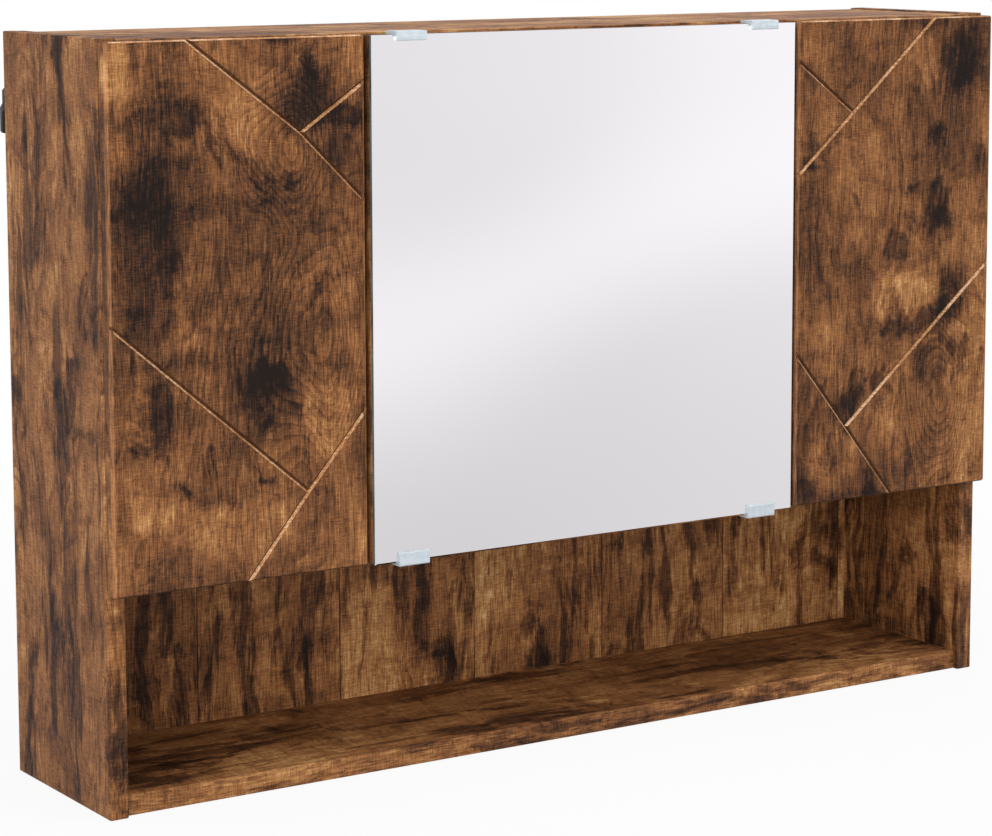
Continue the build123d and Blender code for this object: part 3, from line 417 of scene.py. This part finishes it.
def metal(name, low, high, rough, scale=300.0, metallic=1.0):
    """A metal or its coat, with fine mottling in its colour and roughness."""
    material, output, place = new_material(name)
    mottle = add_node(material, "TexNoise", named={
        "Vector": place, "Scale": scale, "Detail": 4.0})
    surface(material, output,
            Base_Color=add_node(material, "ValToRGB", mottle, stops=[(0.3, low), (0.7, high)]),
            Metallic=metallic,
            Roughness=total(material, (mottle, 0.16), (1.0, rough - 0.08)),
            Normal=add_node(material, "Bump", named={
                "Height": mottle, "Distance": 0.00005, "Strength": 0.4}))
    return material


bright = metal("bright_steel", "#9c9d9f", "#c2c3c5", 0.34)
nail = [(1.1, 0), (1.7, 0.15), (1.8, 0.4), (1.7, 0.6), (0.8, 0.7), (0.8, 16.5), (0.1, 18.6)]
turned_fasteners("back_nails", nail, "cabinet", bright)


# All three doors are boards in the same film, and the outer two have milled V grooves. Each
# has its own figure, with smoky stains, paler patches and a few knots where the photographed
# doors have them. The doors hang on the hinges further down.
LEFT_DOOR = (-400, -195, -176)
left_spots = [
    (-372, -76, 22, 84, -0.24), (-342, 0, 22, 17, -0.26), (-243, 15, 24, 27, -0.30),
    (-208, 0, 17, 11, -0.30), (-366, -200, 14, 34, -0.24), (-392, 40, 14, 28, 0.22),
    (-303, -14, 30, 30, 0.16), (-226, -214, 22, 36, 0.22), (-268, -200, 24, 28, -0.20),
    (-296, -30, 24, 12, -0.16), (-380, -270, 30, 40, 0.10), (-300, -290, 44, 26, 0.14),
]
left_knots = [(-277, -181, 17, 10), (-342, -255, 5, 4), (-277, -258, 4, 3)]
left_flames = [(-246, -150, 50, 105), (-262, -20, 44, 60)]
finish(smoked_oak("smoked_oak_left_door", "Z", (0, 0, 0), -0.13, 0.06, left_spots, left_knots,
                  left_flames, LEFT_DOOR), "left_door")
RIGHT_DOOR = (198.5, 400, -176)
right_spots = [
    (368, 22, 26, 30, -0.28), (344, -38, 9, 18, -0.26), (344, -96, 17, 24, -0.28),
    (362, -170, 26, 22, -0.26), (330, -186, 40, 14, -0.28), (340, -222, 20, 20, -0.22),
    (300, -120, 16, 14, -0.20), (216, 16, 14, 10, -0.18), (262, -60, 24, 60, 0.14),
    (320, 24, 24, 26, 0.12), (300, -160, 40, 20, 0.16), (250, -200, 40, 40, 0.12),
    (240, -290, 34, 30, 0.16),
]
right_knots = [(248, -247, 7, 8), (345, -98, 6, 7)]
right_flames = [(352, -250, 34, 80)]
finish(smoked_oak("smoked_oak_right_door", "Z", (260, 0, 520), -0.09, 0.06, right_spots,
                  right_knots, right_flames, RIGHT_DOOR), "right_door")
finish(smoked_oak("smoked_oak_mirror_door", "Z", (130, 0, 830)), "mirror_door")


# The mirror is 4 mm float glass, silvered behind, with ground and chamfered front edges. It
# lies flat on the middle door.
silver, output, place = new_material("silvered_mirror")
dust = add_node(silver, "TexNoise", named={"Vector": place, "Scale": 38.0, "Detail": 5.0})
coat = add_node(silver, "BsdfPrincipled", named={
    "Base Color": linear("#f6f6f7"), "Metallic": 1.0,
    "Roughness": add_node(silver, "MapRange", dust, 0.55, 0.8, 0.004, 0.022, **SOFT)})
ground_edge = add_node(silver, "BsdfPrincipled", named={
    "Base Color": add_node(silver, "ValToRGB", dust, stops=[(0.3, "#3d4847"), (0.7, "#6b7a77")]),
    "Roughness": 0.32})
normal = add_node(silver, "TexCoord").outputs["Normal"]
facing = add_node(silver, "Math", add_node(silver, "SeparateXYZ", normal).outputs["Y"],
                  operation="ABSOLUTE")
facing = add_node(silver, "MapRange", facing, 0.3, 0.5, **SOFT)
both = add_node(silver, "MixShader", facing, ground_edge, coat)
silver.node_tree.links.new(both.outputs[0], output.inputs["Surface"])
finish(silver, "mirror_glass")


# Four clear, slightly blue plastic clips are moulded with a step that holds the glass, and
# each has one small countersunk steel screw into the door.
clip_plastic, output, place = new_material("clear_plastic")
haze = add_node(clip_plastic, "TexNoise", named={"Vector": place, "Scale": 220.0, "Detail": 3.0})
surface(clip_plastic, output,
        Base_Color=add_node(clip_plastic, "ValToRGB", haze,
                            stops=[(0.3, "#d5e4ef"), (0.7, "#edf4f9")]),
        Roughness=total(clip_plastic, (haze, 0.12), (1.0, 0.12)),
        IOR=1.49, Transmission_Weight=0.42)
finish(clip_plastic, "mirror_clips")


def screw_outline(head_r, head, shank_r, length, pitch):
    """Outline of a countersunk screw with a rolled thread and a point."""
    points = [(head_r - 0.15, 0), (head_r, 0.15), (head_r, 0.3), (shank_r, head)]
    depth = head + pitch / 2
    while depth < length - 2 * pitch:
        points += [(shank_r * 0.74, depth), (shank_r, depth + 0.45 * pitch)]
        depth += pitch
    return points + [(shank_r * 0.72, length - 1.6 * pitch), (0.12, length)]


clip_screw = screw_outline(2.8, 1.4, 1.4, 13, 1.1)
turned_fasteners("mirror_clip_screws", clip_screw, "mirror_door", bright, 1.5)


# Each door turns on two single-pivot hinges: a nickel-plated cup screwed into its pocket, a
# cranked arm on the cup's pin, and a mounting plate screwed to the upright. The stamped
# steel has small rounds on its edges.
def softened(name, body, material, width):
    """A CAD node's own form with its sharp edges broken by a small round."""
    mesh = bmesh.new()
    mesh.from_mesh(nodes[name].data)
    bmesh.ops.remove_doubles(mesh, verts=mesh.verts, dist=1e-6)
    bmesh.ops.dissolve_limit(mesh, angle_limit=radians(1), verts=mesh.verts, edges=mesh.edges)
    sharp = [edge for edge in mesh.edges
             if len(edge.link_faces) == 2 and edge.calc_face_angle(0) > radians(20)]
    bmesh.ops.bevel(mesh, geom=sharp, offset=width / 1000, segments=2, profile=0.5,
                    affect="EDGES", material=-1, clamp_overlap=True)
    add_piece(f"{name}_softened", mesh, body, material, name)


nickel = metal("nickel_plated_steel", "#a9a7a1", "#c6c4be", 0.28)
hinge_pin = [(0.8, 0), (1.0, 0.2), (1.0, 12.2), (0.8, 12.4)]
cup_screw = screw_outline(3.0, 1.4, 1.6, 9, 1.3)
plate_screw = screw_outline(3.0, 1.4, 1.6, 12, 1.3)
arm_screw = [(2.3, 0), (2.9, 0.3), (3.0, 0.9), (3.0, 1.4), (1.6, 1.5), (1.6, 6.6), (1.2, 6.8)]
HINGE_RECESS = 1.7
for door in ("left", "mirror", "right"):
    softened(f"{door}_hinge_cups", f"{door}_door", nickel, 0.15)
    softened(f"{door}_hinge_arms", "cabinet", nickel, 0.2)
    softened(f"{door}_hinge_plates", "cabinet", nickel, 0.3)
    turned_fasteners(f"{door}_hinge_pins", hinge_pin, f"{door}_door", bright)
    turned_fasteners(f"{door}_hinge_cup_screws", cup_screw, f"{door}_door", bright,
                     HINGE_RECESS)
    turned_fasteners(f"{door}_hinge_plate_screws", plate_screw, "cabinet", bright,
                     HINGE_RECESS)
    turned_fasteners(f"{door}_hinge_arm_screws", arm_screw, "cabinet", bright, HINGE_RECESS)


# Small pads of clear soft plastic are stuck behind the doors' free edges, and cushion them
# against the cabinet.
pad_rubber, output, place = new_material("clear_rubber")
cloudy = add_node(pad_rubber, "TexNoise", named={"Vector": place, "Scale": 400.0})
surface(pad_rubber, output,
        Base_Color=add_node(pad_rubber, "ValToRGB", cloudy,
                            stops=[(0.3, "#d9dbd8"), (0.7, "#ecedeb")]),
        Roughness=0.35, Transmission_Weight=0.6, IOR=1.45)
finish(pad_rubber, "left_door_bumpers", "mirror_door_bumpers", "right_door_bumpers")


# Each loose shelf lies on four turned steel pins, pushed into holes of the uprights. A pin
# has a collar and a flat for the board.
shelf_pin = [(2.2, 0), (2.5, 0.3), (2.5, 7.0), (3.2, 7.1), (3.2, 7.8), (2.5, 7.9), (2.5, 13.5),
             (2.2, 13.8)]
for shelf in ("left", "middle", "right"):
    turned_fasteners(f"{shelf}_shelf_pins", shelf_pin, "cabinet", bright, flat=1.8)


# Knock-down fittings hold the boards: cast zinc cams that pull on steel bolts, beech dowels
# beside them, and long screws up into the partitions.
zinc = metal("cast_zinc", "#8d8f92", "#aeb0b3", 0.42, 180.0)
finish(zinc, "cam_housings")
finish(bright, "cam_bolts")
partition_screw = screw_outline(4.6, 2.4, 2.5, 50, 2.2)
turned_fasteners("partition_screws", partition_screw, "cabinet", bright, 2.6)
beech, output, place = new_material("beech")
streak = add_node(beech, "Mapping", named={"Vector": place, "Scale": (60.0, 900.0, 900.0)})
streak = add_node(beech, "TexNoise", named={"Vector": streak, "Scale": 1.0, "Detail": 3.0})
surface(beech, output, Roughness=0.6,
        Base_Color=add_node(beech, "ValToRGB", streak,
                            stops=[(0.3, "#b98a5e"), (0.7, "#dcb98f")]))
finish(beech, "dowels")


# The two wall hangers are bent steel with a black powder coat, fine and slightly pebbled,
# each held by one screw into the side's rear edge.
powder = metal("black_powder_coat", "#121213", "#1f2021", 0.48, 1400.0, 0.0)
softened("left_hanger", "cabinet", powder, 0.5)
softened("right_hanger", "cabinet", powder, 0.5)
hanger_screw = screw_outline(4.0, 2.2, 2.0, 30, 1.7)
turned_fasteners("hanger_screws", hanger_screw, "cabinet", bright, 2.2)


# The floor is a stage just under the cabinet: white to the camera, with the cabinet's own
# soft shadow kept, and not seen by the mirror.
ground = bmesh.new()
bmesh.ops.create_circle(ground, cap_ends=True, radius=2.6, segments=96)
floor_mesh = bpy.data.meshes.new("floor")
ground.to_mesh(floor_mesh)
ground.free()
floor_mesh.transform(Matrix.Translation((0.0, -0.1, -0.4885)))
floor = bpy.data.objects.new("floor", floor_mesh)
bpy.context.scene.collection.objects.link(floor)
floor_white, output, place = new_material("floor_white")
distance = add_node(floor_white, "VectorMath", place, operation="LENGTH").outputs["Value"]
keep = add_node(floor_white, "MapRange", distance, 0.65, 1.5, 0.09, 0.0, **SOFT)
matt = add_node(floor_white, "BsdfDiffuse", linear("#d8d8d8"))
glow = add_node(floor_white, "Emission", (1, 1, 1, 1), 1.0)
seen = add_node(floor_white, "MixShader", keep, glow, matt)
rays = add_node(floor_white, "LightPath").outputs
shown = add_node(floor_white, "MixShader", rays["Is Camera Ray"], matt, seen)
clear = add_node(floor_white, "BsdfTransparent")
shown = add_node(floor_white, "MixShader", rays["Is Glossy Ray"], shown, clear)
floor_white.node_tree.links.new(shown.outputs[0], output.inputs["Surface"])
floor_mesh.materials.append(floor_white)


# The room is plain: an even white surround, a white background for the camera, and for the
# mirror a soft grey that lightens to the upper right, with a paler band across it.
world = bpy.data.worlds.new("room")
bpy.context.scene.world = world
world.use_nodes = True
world.node_tree.nodes.clear()
output = add_node(world, "OutputWorld")
direction = add_node(world, "TexCoord").outputs["Generated"]
axes = add_node(world, "SeparateXYZ", direction).outputs
upward = add_node(world, "MapRange", axes["Z"], -0.20, -0.05, **SOFT)
rightward = add_node(world, "MapRange", axes["X"], 0.49, 0.63, **SOFT)
band = add_node(world, "Math", total(world, (rightward, 0.55), (upward, -1.0), (1.0, 0.30)),
                operation="ABSOLUTE")
band = add_node(world, "MapRange", band, 0.42, 0.0, **SOFT)
corner = product(
    world, add_node(world, "MapRange", axes["X"], 0.58, 0.49, **SOFT),
    add_node(world, "MapRange", axes["Z"], -0.215, -0.15, **SOFT),
    add_node(world, "MapRange", axes["Z"], -0.07, -0.13, **SOFT))
shine = total(world, (upward, 0.15), (rightward, 0.09), (band, 0.12), (corner, 0.10),
              (1.0, 0.69))
reflected = add_node(world, "CombineXYZ", shine, total(world, (shine, 0.975)), shine)
surround = add_node(world, "Background", (1, 1, 1, 1), 0.86)
mirrored = add_node(world, "Background", reflected, 1.0)
white = add_node(world, "Background", (1, 1, 1, 1), 1.0)
rays = add_node(world, "LightPath").outputs
mixed = add_node(world, "MixShader", rays["Is Glossy Ray"], surround, mirrored)
mixed = add_node(world, "MixShader", rays["Is Camera Ray"], mixed, white)
world.node_tree.links.new(mixed.outputs[0], output.inputs["Surface"])


# One large soft lamp stands low at the front left and reaches into the open shelf, and a
# weaker one hangs above the cabinet.
def soft_lamp(name, place, target, size, power):
    """A square lamp that faces its target."""
    data = bpy.data.lights.new(name, "AREA")
    data.size = size
    data.energy = power
    lamp = bpy.data.objects.new(name, data)
    lamp.location = place
    lamp.rotation_euler = (Vector(target) - Vector(place)).to_track_quat("-Z", "Y").to_euler()
    bpy.context.scene.collection.objects.link(lamp)


soft_lamp("front_left_lamp", (-2.3, -2.6, 0.35), (0, -0.1, -0.25), 1.8, 62.0)
soft_lamp("top_lamp", (0.2, -1.0, 2.0), (0, -0.1, -0.1), 1.2, 20.0)


# The photographer stood to the left, a little above the cabinet, with a long lens that
# looks slightly down.
VIEWPOINT = (-1.314, -2.080, 0.156)
TURN, PITCH, ROLL = 32.86, 7.4, 0.15
camera_data = bpy.data.cameras.new("camera")
camera_data.lens = 111.9
camera_data.sensor_width = 36.0
camera_data.shift_y = -0.12
camera = bpy.data.objects.new("camera", camera_data)
bpy.context.scene.collection.objects.link(camera)
camera.matrix_world = (
    Matrix.Translation(VIEWPOINT) @ Matrix.Rotation(radians(-TURN), 4, "Z")
    @ Matrix.Rotation(radians(90 - PITCH), 4, "X") @ Matrix.Rotation(radians(-ROLL), 4, "Z"))
bpy.context.scene.camera = camera
bpy.context.scene.view_settings.view_transform = "Standard"
